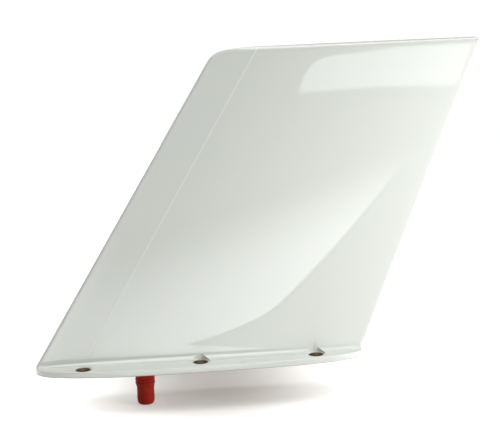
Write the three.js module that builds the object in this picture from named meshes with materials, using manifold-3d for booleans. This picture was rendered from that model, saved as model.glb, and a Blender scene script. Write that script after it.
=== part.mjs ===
// Swept airborne blade antenna on a boat-shaped flange.
// Millimetres. +Z is up (away from the aircraft skin), +X is aft, -Y is the left-hand side.
// The origin is the middle of the six-screw pattern, on the mounting face under the flange.
import * as THREE from 'three';
import { mergeVertices } from 'three/addons/utils/BufferGeometryUtils.js';
import Module from 'manifold-3d';

const wasm = await Module();
wasm.setup();

// Flange
const flangeThickness = 4;
const flangeHalfWidth = 26;
const flangeFront = { length: 107, roundness: 2.7 };
const flangeRear = { length: 108.5, roundness: 3.5 };
const screwPitch = 76.2;
const screwHalfGauge = 14;
const spotFaceRadius = 6.4;
const spotFaceDepth = 0.3;
const bushRadius = 5.55;
const countersinkRadius = 4.9;
const screwHoleRadius = 2.6;
const countersinkHalfAngle = 50;

// Blade
const tipHeight = 206;
const leadingFootX = -106.9;
const trailingFootX = 108.15;
const leadingSweep = 31.85;
const trailingSweep = 22.75;
const thickestHalf = 7.8;
const thickestAt = 0.68;
const tailHalf = 6.6;
const noseRadius = 2;
const tailCornerRadius = 2.6;
const tipThicknessRatio = 0.72;
const filletHeight = 4.4;
const filletFlare = 0.9;
const tipEdgeRadius = 3;
const tipCrownRatio = 0.53;
const droopLength = 22;
const droopDepth = 1.6;
const droopEndX = 46;
const rearCornerRadius = 2.5;

// Shell, guard and core
const wall = 2.8;
const cavityFrontAt = 0.15;
const cavityTailGap = 3.2;
const cavityTop = tipHeight - 6;
const guardThickness = 0.6;
const guardFoot = flangeThickness + 7.5;
const guardWidthAtRoot = 30;
const guardNoseDrop = 4.3;
const guardSeamSweep = 31.27;
const jointGap = 0.3;
const coreFootHeight = 40;

// Board and printed elements
const boardHalf = 0.8;
const boardFoot = 5.8;
const boardShoulder = 15;
const boardTop = 190;
const elementThickness = 0.3;
const elementFoot = 34;
const elementTop = 184;
const faceGap = 0.05;

// Tenon that carries the board
const tenonTop = 14;
const slotHalf = 1;
const slotFloor = 5.5;
const pinRadius = 1;
const pinHeight = 9.5;

// Connector and its cap
const connectorX = -36;
const plateHalf = 8.9;
const plateBottom = 0.4;
const plateTop = 2;
const pocketClearance = 0.4;
const barrelRadius = 5.55;
const barrelEnd = -14;
const barrelBore = 4.1;
const insulatorRadius = 2.1;
const contactRadius = 0.65;
const contactTop = 9.8;
const contactEnd = -8.9;
const plateScrewHalfPitch = 6.35;
const plateScrewRadius = 1.2;
const plateScrewHeadRadius = 2.3;
const capTop = -3.6;
const capEnd = -25.8;
const capBulgeRadius = 6.5;
const capBodyRadius = 5.8;

const round = 24;
const radians = THREE.MathUtils.degToRad;
const leadingSlope = Math.tan(radians(leadingSweep));
const trailingSlope = Math.tan(radians(trailingSweep));
const footChord = trailingFootX - leadingFootX;

// ---------------------------------------------------------------- solids

function solidOf(geometry) {
  const bare = geometry.index ? geometry.toNonIndexed() : geometry.clone();
  bare.deleteAttribute('normal');
  bare.deleteAttribute('uv');
  const merged = mergeVertices(bare, 1e-4);
  return new wasm.Manifold(new wasm.Mesh({
    numProp: 3,
    vertProperties: new Float32Array(merged.attributes.position.array),
    triVerts: new Uint32Array(merged.index.array),
  }));
}

function geometryOf(solid) {
  const mesh = solid.getMesh();
  const geometry = new THREE.BufferGeometry();
  geometry.setAttribute('position', new THREE.BufferAttribute(mesh.vertProperties, 3));
  geometry.setIndex(new THREE.BufferAttribute(mesh.triVerts, 1));
  return geometry;
}

// A plan outline pulled up from one height to another.
function prism(shape, low, high) {
  const geometry = new THREE.ExtrudeGeometry(shape, { depth: high - low, bevelEnabled: false });
  return geometry.translate(0, 0, low);
}

// A side outline drawn in X and Z, pulled across from one Y to another.
function sidePrism(shape, lowY, highY) {
  const geometry = new THREE.ExtrudeGeometry(shape, { depth: highY - lowY, bevelEnabled: false });
  return geometry.rotateX(Math.PI / 2).translate(0, highY, 0);
}

// A turned solid about a vertical axis; profile points are [radius, height].
function turned(profile, segments = round) {
  const points = profile.map(([radius, height]) => new THREE.Vector2(radius, height));
  return new THREE.LatheGeometry(points, segments).rotateX(Math.PI / 2);
}

function outline(points) {
  return new THREE.Shape(points.map(([a, b]) => new THREE.Vector2(a, b)));
}

function slab(lowX, highX, lowY, highY, lowZ, highZ) {
  const geometry = new THREE.BoxGeometry(highX - lowX, highY - lowY, highZ - lowZ);
  return geometry.translate((lowX + highX) / 2, (lowY + highY) / 2, (lowZ + highZ) / 2);
}

function post(radius, low, high, segments = round) {
  return turned([[0, low], [radius, low], [radius, high], [0, high]], segments);
}

// ---------------------------------------------------------------- blade form

// Front corner of the tip: an arc tangent to the leading edge, then a long shallow droop.
const droopSlope = Math.atan(2 * droopDepth / droopLength);
const cornerTop = { x: droopEndX - droopLength, z: tipHeight - droopDepth };
const leadAngle = radians(90 - leadingSweep);
const cornerRun = Math.sin(leadAngle) - Math.sin(droopSlope);
const cornerRise = Math.cos(droopSlope) - Math.cos(leadAngle);
const cornerOverhang = cornerTop.x - leadingLine(cornerTop.z);
const frontCornerRadius = cornerOverhang / (cornerRun - leadingSlope * cornerRise);
const frontCorner = {
  x: cornerTop.x + frontCornerRadius * Math.sin(droopSlope),
  z: cornerTop.z - frontCornerRadius * Math.cos(droopSlope),
};
const frontCornerFoot = frontCorner.z + frontCornerRadius * Math.cos(leadAngle);
const rearCorner = {
  x: trailingLine(tipHeight - rearCornerRadius) - rearCornerRadius / Math.cos(radians(trailingSweep)),
  z: tipHeight - rearCornerRadius,
};
const rearCornerFoot = rearCorner.z - rearCornerRadius * Math.sin(radians(trailingSweep));

function leadingLine(z) {
  return leadingFootX + (z - flangeThickness) * leadingSlope;
}

function trailingLine(z) {
  return trailingFootX + (z - flangeThickness) * trailingSlope;
}

function leadingEdge(z) {
  if (z > cornerTop.z) return droopEndX - droopLength * Math.sqrt((tipHeight - z) / droopDepth);
  if (z > frontCornerFoot) {
    return frontCorner.x - Math.sqrt(frontCornerRadius ** 2 - (z - frontCorner.z) ** 2);
  }
  return leadingLine(z);
}

function trailingEdge(z) {
  if (z > rearCornerFoot) return rearCorner.x + Math.sqrt(rearCornerRadius ** 2 - (z - rearCorner.z) ** 2);
  return trailingLine(z);
}

// Half thickness of the foot section at a distance behind its leading edge.
function halfThickness(distance) {
  const at = distance / footChord;
  const rise = thickestHalf * Math.sin(Math.PI / 2 * Math.min(at / thickestAt, 1) ** 0.8);
  const fall = (thickestHalf - tailHalf) * (Math.max(at - thickestAt, 0) / (1 - thickestAt)) ** 2;
  const nose = noseRadius * Math.sqrt(1 - (1 - Math.min(distance / noseRadius, 1)) ** 2);
  const toTail = Math.max(tailCornerRadius - (footChord - distance), 0);
  const corner = tailCornerRadius - Math.sqrt(tailCornerRadius ** 2 - toTail ** 2);
  return Math.hypot(rise - fall, nose) - corner;
}

// Half width of the shell's cavity at a place along the blade.
function cavityHalf(x, z) {
  const scale = footChord / (trailingEdge(z) - leadingEdge(z));
  return (halfThickness((x - leadingEdge(z)) * scale) - wall) * taper(z);
}

// Distances behind the leading edge at which a section gets a point: close at nose and tail.
function sectionDistances() {
  const distances = [];
  for (const turn of [0, 35, 65]) distances.push(noseRadius * (1 - Math.cos(radians(turn))));
  for (const part of [0.01, 0.035, 0.07, 0.115, 0.17, 0.24, 0.32, 0.41, 0.5, 0.59, 0.68, 0.76, 0.84, 0.92]) {
    distances.push(part * footChord);
  }
  for (const turn of [0, 30, 60, 90]) {
    distances.push(footChord - tailCornerRadius * (1 - Math.sin(radians(turn))));
  }
  return distances;
}

// Foot section, set in by the same amount all round.
function footSection(inset, front = inset, rear = inset) {
  const inside = sectionDistances().filter((d) => d > front + 0.2 && d < footChord - rear - 0.2);
  const distances = [front, ...inside, footChord - rear];
  const sides = distances.map((d) => [leadingFootX + d, Math.max(halfThickness(d) - inset, 0)]);
  const near = sides.map(([x, y]) => [x, -y]);
  const far = sides.filter(([, y]) => y > 0).reverse();
  return outline([...near, ...far]);
}

function filletGrowth(z) {
  const left = Math.max(1 - (z - flangeThickness) / filletHeight, 0);
  return 1 + filletFlare * (1 - Math.sqrt(1 - Math.min(left, 1) ** 2));
}

function tipCrown(z) {
  const into = Math.max((z - tipHeight) / tipEdgeRadius + 1, 0);
  return 1 - tipCrownRatio * (1 - Math.sqrt(1 - Math.min(into, 1) ** 2));
}

function taper(z) {
  return 1 - (1 - tipThicknessRatio) * (z - flangeThickness) / (tipHeight - flangeThickness);
}

// Carries a foot section up the blade through the given heights.
function loft(shape, heights, thicknessAt) {
  const steps = heights.length - 1;
  const geometry = new THREE.ExtrudeGeometry(shape, { depth: steps, steps, bevelEnabled: false });
  const place = geometry.attributes.position;
  for (let i = 0; i < place.count; i += 1) {
    const z = heights[Math.round(place.getZ(i))];
    const chord = trailingEdge(z) - leadingEdge(z);
    const x = leadingEdge(z) + (place.getX(i) - leadingFootX) * chord / footChord;
    place.setXYZ(i, x, place.getY(i) * thicknessAt(z), z);
  }
  return geometry;
}

const filletSteps = [0, 1, 2, 3, 4, 5];
const filletStations = filletSteps.map((step) => flangeThickness + filletHeight * (step / 5) ** 2);
const { lerp } = THREE.MathUtils;
const cornerHeights = [0, 0.35, 0.65, 0.85, 1].map((part) => lerp(frontCornerFoot, cornerTop.z, part));
const droopHeights = [0.55, 0.85, 1].map((part) => lerp(cornerTop.z, tipHeight, part));
const bladeHeights = [...filletStations, ...cornerHeights, ...droopHeights];
const skinThickness = (z) => taper(z) * filletGrowth(z) * tipCrown(z);

function bladeSkin(inset) {
  return solidOf(loft(footSection(inset), bladeHeights, skinThickness));
}

const bladeSolid = bladeSkin(0);
const cavitySolid = solidOf(loft(
  footSection(wall, cavityFrontAt * footChord, cavityTailGap),
  [flangeThickness - 2, flangeThickness, cavityTop],
  taper,
));
const farSide = solidOf(slab(-200, 300, 0, 60, -60, 300));
const nearSide = solidOf(slab(-200, 300, -60, 0, -60, 300));

// Each screw seat has a flat cut round it, which runs up into the root fillet under a round top.
function spotCutter(x, y) {
  const low = flangeThickness - spotFaceDepth;
  const shoulder = flangeThickness + filletHeight;
  const profile = [[0, low], [spotFaceRadius, low]];
  for (const turn of [0, 20, 40, 60]) {
    const angle = radians(turn);
    profile.push([spotFaceRadius * Math.cos(angle), shoulder + spotFaceRadius * Math.sin(angle)]);
  }
  profile.push([0, shoulder + spotFaceRadius]);
  return solidOf(turned(profile, 32).translate(x, y, 0));
}

const rowPlaces = (x) => [-1, 1].map((side) => [x, side * screwHalfGauge]);
const screwPlaces = [-1, 0, 1].flatMap((row) => rowPlaces(row * screwPitch));
const spotCutters = screwPlaces.map(([x, y]) => spotCutter(x, y));

function cutAll(solid, cutters) {
  return cutters.reduce((left, cutter) => left.subtract(cutter), solid);
}

// ---------------------------------------------------------------- leading edge guard

function seamX(z) {
  const slope = Math.tan(radians(guardSeamSweep));
  return leadingLine(guardFoot) + guardWidthAtRoot + (z - guardFoot) * slope;
}

// Side area that the guard covers; grow widens it for the shell's own recess.
function guardArea(grow) {
  const foot = guardFoot - grow;
  const top = tipHeight + 20;
  const noseX = leadingLine(flangeThickness);
  const slope = guardNoseDrop / (seamX(foot) - noseX);
  const farX = noseX - 30;
  return solidOf(sidePrism(outline([
    [farX, foot - slope * (seamX(foot) - farX)],
    [seamX(foot) + grow, foot],
    [seamX(top) + grow, top],
    [farX, top],
  ]), -40, 40));
}

const guardSolid = bladeSolid.intersect(guardArea(0)).subtract(bladeSkin(guardThickness));
const guardRecess = guardArea(jointGap).subtract(bladeSkin(guardThickness + jointGap));
const shellSolid = cutAll(bladeSolid, [cavitySolid, guardRecess, ...spotCutters]);

// ---------------------------------------------------------------- flange and tenon

function flangeOutline() {
  const quarter = 12;
  const points = [];
  for (let i = 0; i < 4 * quarter; i += 1) {
    const angle = Math.PI / 2 * i / quarter;
    const end = Math.cos(angle) < 0 ? flangeFront : flangeRear;
    const power = 2 / end.roundness;
    points.push([
      Math.sign(Math.cos(angle)) * end.length * Math.abs(Math.cos(angle)) ** power,
      Math.sign(Math.sin(angle)) * flangeHalfWidth * Math.abs(Math.sin(angle)) ** power,
    ]);
  }
  return outline(points);
}

// A length of the cavity's own form, from one X to another.
function tenonBlock(lowX, highX) {
  const form = solidOf(loft(
    footSection(wall + jointGap, cavityFrontAt * footChord, cavityTailGap + jointGap),
    [flangeThickness - 1, tenonTop],
    taper,
  ));
  return form.intersect(solidOf(slab(lowX, highX, -20, 20, 0, tenonTop + 1)));
}

const tenonFront = { low: -62, high: connectorX - 8 };
const tenonRear = { low: connectorX + 8, high: 86 };
const pinPlaces = [-53, 18, 70];
const sealGroove = { inner: 5, outer: 6.5, top: 2.8 };
const gasketGroove = { inner: 15.4, outer: 18, top: 1.8 };

function ring(inner, outer, low, high, segments = round) {
  return turned([[inner, low], [outer, low], [outer, high], [inner, high], [inner, low]], segments);
}

function pinAlongY(x, z, radius, halfLength) {
  const geometry = post(radius, -halfLength, halfLength, 16);
  return geometry.rotateX(Math.PI / 2).translate(x, 0, z);
}

function basePlate() {
  const pocketHalf = plateHalf + pocketClearance;
  const slotCut = slab(tenonFront.low + 2, tenonRear.high - 2, -slotHalf, slotHalf, slotFloor, tenonTop + 1);
  const pocketSides = [connectorX - pocketHalf, connectorX + pocketHalf, -pocketHalf, pocketHalf];
  const pocket = slab(...pocketSides, -1, plateTop + 0.2);
  const cutters = [
    slotCut,
    pocket,
    post(3.4, -1, flangeThickness + 1).translate(connectorX, 0, 0),
    ring(sealGroove.inner, sealGroove.outer, 1, sealGroove.top).translate(connectorX, 0, 0),
    ring(gasketGroove.inner, gasketGroove.outer, -1, gasketGroove.top, 48).translate(connectorX, 0, 0),
    ...plateScrewPlaces().map(([x, y]) => post(plateScrewRadius + 0.15, 1, 3.7, 12).translate(x, y, 0)),
    ...screwPlaces.map(([x, y]) => post(bushRadius + 0.05, -1, flangeThickness + 1).translate(x, y, 0)),
    ...pinPlaces.map((x) => pinAlongY(x, pinHeight, pinRadius + 0.1, 12)),
  ].map(solidOf);
  const blank = solidOf(prism(flangeOutline(), 0, flangeThickness));
  const frontTenon = tenonBlock(tenonFront.low, tenonFront.high);
  const rearTenon = tenonBlock(tenonRear.low, tenonRear.high);
  const body = blank.add(frontTenon).add(rearTenon);
  return cutAll(body, [...cutters, ...spotCutters]);
}

function mountBush() {
  const low = 0.2;
  const high = flangeThickness - spotFaceDepth - 0.02;
  const seat = high - (countersinkRadius - screwHoleRadius) / Math.tan(radians(countersinkHalfAngle));
  return turned([
    [screwHoleRadius, low],
    [bushRadius, low],
    [bushRadius, high],
    [countersinkRadius, high],
    [screwHoleRadius, seat],
    [screwHoleRadius, low],
  ]);
}

// ---------------------------------------------------------------- board, elements and core

function alongBlade(part, z) {
  return leadingEdge(z) + part * (trailingEdge(z) - leadingEdge(z));
}

function boardOutline(grow) {
  const low = boardShoulder - grow;
  const high = boardTop + grow;
  return outline([
    [-58 - grow, boardFoot - grow],
    [connectorX - 5, boardFoot - grow],
    [connectorX - 5, 12.5],
    [connectorX + 5, 12.5],
    [connectorX + 5, boardFoot - grow],
    [80 + grow, boardFoot - grow],
    [80 + grow, low],
    [alongBlade(0.94, low) + grow, low],
    [alongBlade(0.94, high) + grow, high],
    [alongBlade(0.22, high) - grow, high],
    [alongBlade(0.22, low) - grow, low],
    [-58 - grow, low],
  ]);
}

function radiatorBoard() {
  const holes = pinPlaces.map((x) => solidOf(pinAlongY(x, pinHeight, pinRadius + 0.1, 4)));
  return cutAll(solidOf(sidePrism(boardOutline(0), -boardHalf, boardHalf)), holes);
}

// A copper panel that follows the blade's sweep between two parts of the chord.
function elementPanel(frontPart, rearPart, low, high, lowY) {
  const shape = new THREE.Shape();
  const corner = 6;
  const footFront = alongBlade(frontPart, low);
  const footRear = alongBlade(rearPart, low);
  const topFront = alongBlade(frontPart, high);
  const topRear = alongBlade(rearPart, high);
  shape.moveTo(footFront, low);
  shape.lineTo(footRear, low);
  shape.lineTo(topRear - corner * trailingSlope, high - corner);
  shape.quadraticCurveTo(topRear, high, topRear - corner, high);
  shape.lineTo(topFront + corner, high);
  shape.quadraticCurveTo(topFront, high, topFront - corner * leadingSlope, high - corner);
  shape.closePath();
  const geometry = new THREE.ExtrudeGeometry(shape, {
    depth: elementThickness, bevelEnabled: false, curveSegments: 5,
  });
  return geometry.rotateX(Math.PI / 2).translate(0, lowY + elementThickness, 0);
}

function coreHalf(side) {
  const full = solidOf(loft(
    footSection(wall + jointGap, cavityFrontAt * footChord + 2, cavityTailGap + jointGap),
    [coreFootHeight, cavityTop - 1],
    taper,
  ));
  const reach = boardHalf + elementThickness + 2 * jointGap;
  const pocket = solidOf(sidePrism(boardOutline(jointGap), -reach, reach));
  return full.subtract(pocket).intersect(side);
}

function feedStrap() {
  const high = elementFoot - 0.5;
  const lowY = -boardHalf - faceGap - 2 * elementThickness;
  return sidePrism(outline([
    [connectorX - 1.5, 7.6],
    [connectorX + 1.5, 7.6],
    [connectorX + 1.5, 14],
    [connectorX + 6, 20],
    [connectorX + 6, high],
    [connectorX - 6, high],
    [connectorX - 6, 20],
    [connectorX - 1.5, 14],
  ]), lowY, lowY + elementThickness);
}

// Shunt strap: a foot on the tenon and a leg up the board's far face.
function groundStrap() {
  const x = 30;
  const leg = boardHalf + 0.15;
  const shape = outline([
    [leg, tenonTop + 0.1],
    [4, tenonTop + 0.1],
    [4, tenonTop + 0.5],
    [leg + 0.4, tenonTop + 0.5],
    [leg + 0.4, tenonTop + 14],
    [leg, tenonTop + 14],
  ]);
  const geometry = new THREE.ExtrudeGeometry(shape, { depth: 7, bevelEnabled: false });
  return geometry.rotateX(Math.PI / 2).rotateZ(Math.PI / 2).translate(x, 0, 0);
}

// ---------------------------------------------------------------- matching network

const coil = {
  x: -12, y: 2.35, z: 26, turns: 9,
  ringRadius: 3.4, coreRadius: 0.8, windRadius: 1.14, wireRadius: 0.2,
};

class ToroidWinding extends THREE.Curve {
  getPoint(t, target = new THREE.Vector3()) {
    const around = radians(330) * t;
    const wound = 2 * Math.PI * coil.turns * t;
    const reach = coil.ringRadius + coil.windRadius * Math.cos(wound);
    return target.set(reach * Math.cos(around), reach * Math.sin(around), coil.windRadius * Math.sin(wound));
  }
}

function disc(radius, sides) {
  const points = Array.from({ length: sides }, (_, i) => {
    const angle = 2 * Math.PI * i / sides;
    return [radius * Math.cos(angle), radius * Math.sin(angle)];
  });
  return outline(points);
}

function matchWinding() {
  const geometry = new THREE.ExtrudeGeometry(disc(coil.wireRadius, 5), {
    steps: coil.turns * 8, extrudePath: new ToroidWinding(), bevelEnabled: false,
  });
  return geometry.rotateX(Math.PI / 2).translate(coil.x, coil.y, coil.z);
}

function matchCore() {
  const sides = 8;
  const profile = Array.from({ length: sides + 1 }, (_, i) => {
    const angle = 2 * Math.PI * (i % sides) / sides;
    return [coil.ringRadius + coil.coreRadius * Math.cos(angle), coil.coreRadius * Math.sin(angle)];
  });
  return turned(profile, 24).rotateX(Math.PI / 2).translate(coil.x, coil.y, coil.z);
}

function chipCapacitor(x) {
  const low = boardHalf + faceGap;
  const side = low + 1.3;
  const top = low + 1.6;
  const shape = outline([[-2.2, low], [2.2, low], [2.2, side], [1.9, top], [-1.9, top], [-2.2, side]]);
  return prism(shape, 23, 26).translate(x, 0, 0);
}

// ---------------------------------------------------------------- connector and cap

function plateScrewPlaces() {
  const pitch = plateScrewHalfPitch;
  return [-1, 1].flatMap((a) => [-1, 1].map((b) => [connectorX + a * pitch, b * pitch]));
}

// Countersunk screw, head down, flush with the underside of the connector plate.
function plateScrewProfile(grow) {
  const headTop = plateBottom + (plateScrewHeadRadius - plateScrewRadius);
  return [
    [0, plateBottom + 0.05 - grow],
    [plateScrewHeadRadius + grow, plateBottom + 0.05 - grow],
    [plateScrewRadius + grow, headTop + 0.05],
    [plateScrewRadius + grow, 3.5 + grow],
    [0, 3.5 + grow],
  ];
}

function connectorBody() {
  const plateShape = new THREE.Shape();
  const corner = 1.6;
  plateShape.moveTo(-plateHalf + corner, -plateHalf);
  for (const [sideX, sideY] of [[1, -1], [1, 1], [-1, 1], [-1, -1]]) {
    const start = Math.atan2(sideY, sideX) - Math.PI / 4;
    const centreX = sideX * (plateHalf - corner);
    const centreY = sideY * (plateHalf - corner);
    plateShape.absarc(centreX, centreY, corner, start, start + Math.PI / 2, false);
  }
  const plate = solidOf(new THREE.ExtrudeGeometry(plateShape, {
    depth: plateTop - plateBottom, bevelEnabled: false, curveSegments: 4,
  }).translate(0, 0, plateBottom));
  const barrel = solidOf(turned([
    [insulatorRadius + 0.1, 5],
    [insulatorRadius + 0.1, -1.5],
    [barrelBore, -1.5],
    [barrelBore, barrelEnd],
    [barrelRadius - 0.4, barrelEnd],
    [barrelRadius, barrelEnd + 0.6],
    [barrelRadius, plateTop - 0.5],
    [3.1, plateTop - 0.5],
    [3.1, 5],
    [insulatorRadius + 0.1, 5],
  ], 32));
  const bore = solidOf(post(insulatorRadius + 0.1, -1.6, 6, 32));
  const holes = plateScrewPlaces().map(([x, y]) => {
    return solidOf(turned(plateScrewProfile(0.12), 16).translate(x - connectorX, y, 0));
  });
  return cutAll(plate.subtract(bore).add(barrel), holes).translate(connectorX, 0, 0);
}

function connectorInsulator() {
  return turned([
    [contactRadius + 0.1, 5.4],
    [contactRadius + 0.1, contactEnd + 0.4],
    [insulatorRadius - 0.3, contactEnd + 0.4],
    [insulatorRadius, contactEnd + 0.9],
    [insulatorRadius, 5.4],
    [contactRadius + 0.1, 5.4],
  ]);
}

function connectorContact() {
  const socketRadius = 0.4;
  return turned([
    [0, contactEnd + 4],
    [socketRadius, contactEnd + 4],
    [socketRadius, contactEnd],
    [contactRadius, contactEnd],
    [contactRadius, contactTop - 0.3],
    [contactRadius - 0.25, contactTop],
    [0, contactTop],
  ], 16);
}

// Soft push-on cap: two raised rings over the barrel, a narrower body and a round end.
function connectorCap() {
  const lip = capTop;
  const ringDepth = 0.25;
  const endRadius = 2.6;
  const inner = barrelRadius + 0.15;
  const endArc = [0, 25, 50, 75, 90].map((turn) => {
    const angle = radians(turn);
    const reach = capBodyRadius - endRadius + endRadius * Math.cos(angle);
    return [reach, capEnd + endRadius - endRadius * Math.sin(angle)];
  });
  return turned([
    [inner, lip],
    [inner, barrelEnd - 0.5],
    [capBodyRadius - 0.8, barrelEnd - 1.4],
    [capBodyRadius - 0.8, capEnd + 2.4],
    [0, capEnd + 2.4],
    [0, capEnd],
    ...endArc.reverse(),
    [capBodyRadius, -16],
    [capBodyRadius + 0.15, -13.4],
    [capBulgeRadius - ringDepth, -12],
    [capBulgeRadius, -11.4],
    [capBulgeRadius, -10.4],
    [capBulgeRadius - ringDepth, -9.8],
    [capBulgeRadius - ringDepth, -9.2],
    [capBulgeRadius, -8.6],
    [capBulgeRadius, -5.4],
    [capBulgeRadius - 0.3, lip - 0.5],
    [capBulgeRadius - 0.5, lip],
    [inner, lip],
  ], 32);
}

// ---------------------------------------------------------------- assembly

const antenna = new THREE.Group();

function finish(color, roughness, metalness) {
  return () => new THREE.MeshStandardMaterial({ color, roughness, metalness });
}

const glossWhite = finish(0xe9ece6, 0.2, 0);
const glassLaminate = finish(0x8d9468, 0.5, 0);
const foam = finish(0xe3d9b4, 0.9, 0);
const copper = finish(0xb87333, 0.35, 1);
const steel = finish(0xb9bab8, 0.3, 1);
const brassGold = finish(0xc9a24a, 0.3, 1);
const nickel = finish(0xc7c5bd, 0.25, 1);
const whitePlastic = finish(0xf1f0ea, 0.5, 0);
const blackRubber = finish(0x1c1c1c, 0.8, 0);
const ferrite = finish(0x3b3c40, 0.7, 0);
const ceramic = finish(0x9b7b55, 0.5, 0);
const redVinyl = finish(0x9c2418, 0.45, 0);

function addPart(name, shape, material) {
  const geometry = shape instanceof THREE.BufferGeometry ? geometryOf(solidOf(shape)) : geometryOf(shape);
  const mesh = new THREE.Mesh(geometry, material());
  mesh.name = name;
  antenna.add(mesh);
  return mesh;
}

addPart('base_plate', basePlate(), glossWhite);
addPart('radome_left', shellSolid.intersect(nearSide), glossWhite);
addPart('radome_right', shellSolid.intersect(farSide), glossWhite);
addPart('leading_edge_guard', guardSolid, glossWhite);
addPart('foam_core_left', coreHalf(nearSide), foam);
addPart('foam_core_right', coreHalf(farSide), foam);
addPart('radiator_board', radiatorBoard(), glassLaminate);
const nearFace = -boardHalf - faceGap - elementThickness;
addPart('radiator_element', elementPanel(0.24, 0.62, elementFoot, elementTop, nearFace), copper);
addPart('coupled_element', elementPanel(0.5, 0.92, elementFoot + 6, elementTop, boardHalf + faceGap), copper);
addPart('feed_strap', feedStrap(), copper);
addPart('ground_strap', groundStrap(), copper);
addPart('match_core', matchCore(), ferrite);
addPart('match_winding', matchWinding(), copper);
[2, 12].forEach((x, i) => addPart(`match_capacitor_${i + 1}`, chipCapacitor(x), ceramic));

pinPlaces.forEach((x, i) => {
  const halfLength = cavityHalf(x, pinHeight) - jointGap - 0.1;
  addPart(`board_pin_${i + 1}`, pinAlongY(x, pinHeight, pinRadius, halfLength), steel);
});

screwPlaces.forEach(([x, y], i) => {
  addPart(`mount_bush_${i + 1}`, mountBush(), nickel).position.set(x, y, 0);
});

addPart('connector_body', connectorBody(), nickel);
addPart('connector_insulator', connectorInsulator(), whitePlastic).position.set(connectorX, 0, 0);
addPart('connector_contact', connectorContact(), brassGold).position.set(connectorX, 0, 0);
const sealSides = [sealGroove.inner + 0.1, sealGroove.outer - 0.1];
const seal = ring(...sealSides, plateTop + 0.02, sealGroove.top - 0.1);
addPart('connector_seal', seal, blackRubber).position.set(connectorX, 0, 0);
plateScrewPlaces().forEach(([x, y], i) => {
  addPart(`connector_screw_${i + 1}`, turned(plateScrewProfile(0), 16), steel).position.set(x, y, 0);
});

const gasket = ring(gasketGroove.inner + 0.1, gasketGroove.outer - 0.1, 0, gasketGroove.top - 0.1, 48);
addPart('base_gasket', gasket, blackRubber).position.set(connectorX, 0, 0);
addPart('connector_cap', connectorCap(), redVinyl).position.set(connectorX, 0, 0);

export default antenna;
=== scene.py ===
import math
import bpy
from mathutils import Matrix, Vector


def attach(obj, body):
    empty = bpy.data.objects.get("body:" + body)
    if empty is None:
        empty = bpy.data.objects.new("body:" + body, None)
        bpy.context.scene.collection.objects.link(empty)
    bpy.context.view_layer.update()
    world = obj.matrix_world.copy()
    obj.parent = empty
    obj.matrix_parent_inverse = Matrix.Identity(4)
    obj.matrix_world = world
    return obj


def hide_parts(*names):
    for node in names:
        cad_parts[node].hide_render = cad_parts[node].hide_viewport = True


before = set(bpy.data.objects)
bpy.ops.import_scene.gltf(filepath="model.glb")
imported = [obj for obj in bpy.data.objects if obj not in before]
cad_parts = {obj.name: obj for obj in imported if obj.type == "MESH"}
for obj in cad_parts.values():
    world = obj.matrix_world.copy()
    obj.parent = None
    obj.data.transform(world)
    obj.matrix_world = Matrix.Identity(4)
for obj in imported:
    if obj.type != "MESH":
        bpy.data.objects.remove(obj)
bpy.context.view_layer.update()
mm = 0.001
print("frame loaded:", len(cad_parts), "nodes")


# ---- small helpers for modelling by operators

def pickNothing():
    if bpy.context.object and bpy.context.object.mode != "OBJECT":
        bpy.ops.object.mode_set(mode="OBJECT")
    bpy.ops.object.select_all(action="DESELECT")


def pickOnly(piece):
    pickNothing()
    piece.select_set(True)
    bpy.context.view_layer.objects.active = piece


def openEdit(piece, mode="VERT", select="DESELECT"):
    pickOnly(piece)
    bpy.ops.object.mode_set(mode="EDIT")
    bpy.ops.mesh.select_mode(type=mode)
    bpy.ops.mesh.select_all(action=select)


def closeEdit():
    bpy.ops.object.mode_set(mode="OBJECT")


def pickVerts(piece, test):
    # vertices by place; the mesh is left in edit mode with only them selected
    openEdit(piece)
    closeEdit()
    for vert in piece.data.vertices:
        vert.select = test(vert.co)
    bpy.ops.object.mode_set(mode="EDIT")


def pickEdges(piece, test):
    # edges whose both ends pass the test
    openEdit(piece, "EDGE")
    closeEdit()
    verts = piece.data.vertices
    for edge in piece.data.edges:
        edge.select = all(test(verts[i].co) for i in edge.vertices)
    bpy.ops.object.mode_set(mode="EDIT")


def copyOf(piece, name):
    twin = piece.copy()
    twin.data = piece.data.copy()
    twin.name = name
    bpy.context.scene.collection.objects.link(twin)
    return twin


def useModifier(piece, kind, **settings):
    pickOnly(piece)
    modifier = piece.modifiers.new(kind.lower(), kind)
    for setting, value in settings.items():
        setattr(modifier, setting, value)
    bpy.ops.object.modifier_apply(modifier=modifier.name)


def cutWith(piece, cutter, operation="DIFFERENCE"):
    useModifier(piece, "BOOLEAN", object=cutter, operation=operation, solver="EXACT")
    bpy.data.objects.remove(cutter)


def setPlaceInMesh(piece):
    pickOnly(piece)
    bpy.ops.object.transform_apply(location=True, rotation=True, scale=True)


def cleanMesh(piece, doubles=1e-6):
    openEdit(piece, "VERT", "SELECT")
    bpy.ops.mesh.remove_doubles(threshold=doubles)
    bpy.ops.mesh.normals_make_consistent(inside=False)
    closeEdit()


def smoothShade(piece, angle=32):
    pickOnly(piece)
    bpy.ops.object.shade_smooth_by_angle(angle=math.radians(angle))


def loopOf(points, name, filled=False):
    # a closed ring of vertices put where the points are
    pickNothing()
    fill = "NGON" if filled else "NOTHING"
    bpy.ops.mesh.primitive_circle_add(vertices=len(points), radius=0.01, fill_type=fill)
    piece = bpy.context.object
    piece.name = name
    for vert, point in zip(piece.data.vertices, points):
        vert.co = point
    return piece


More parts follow.
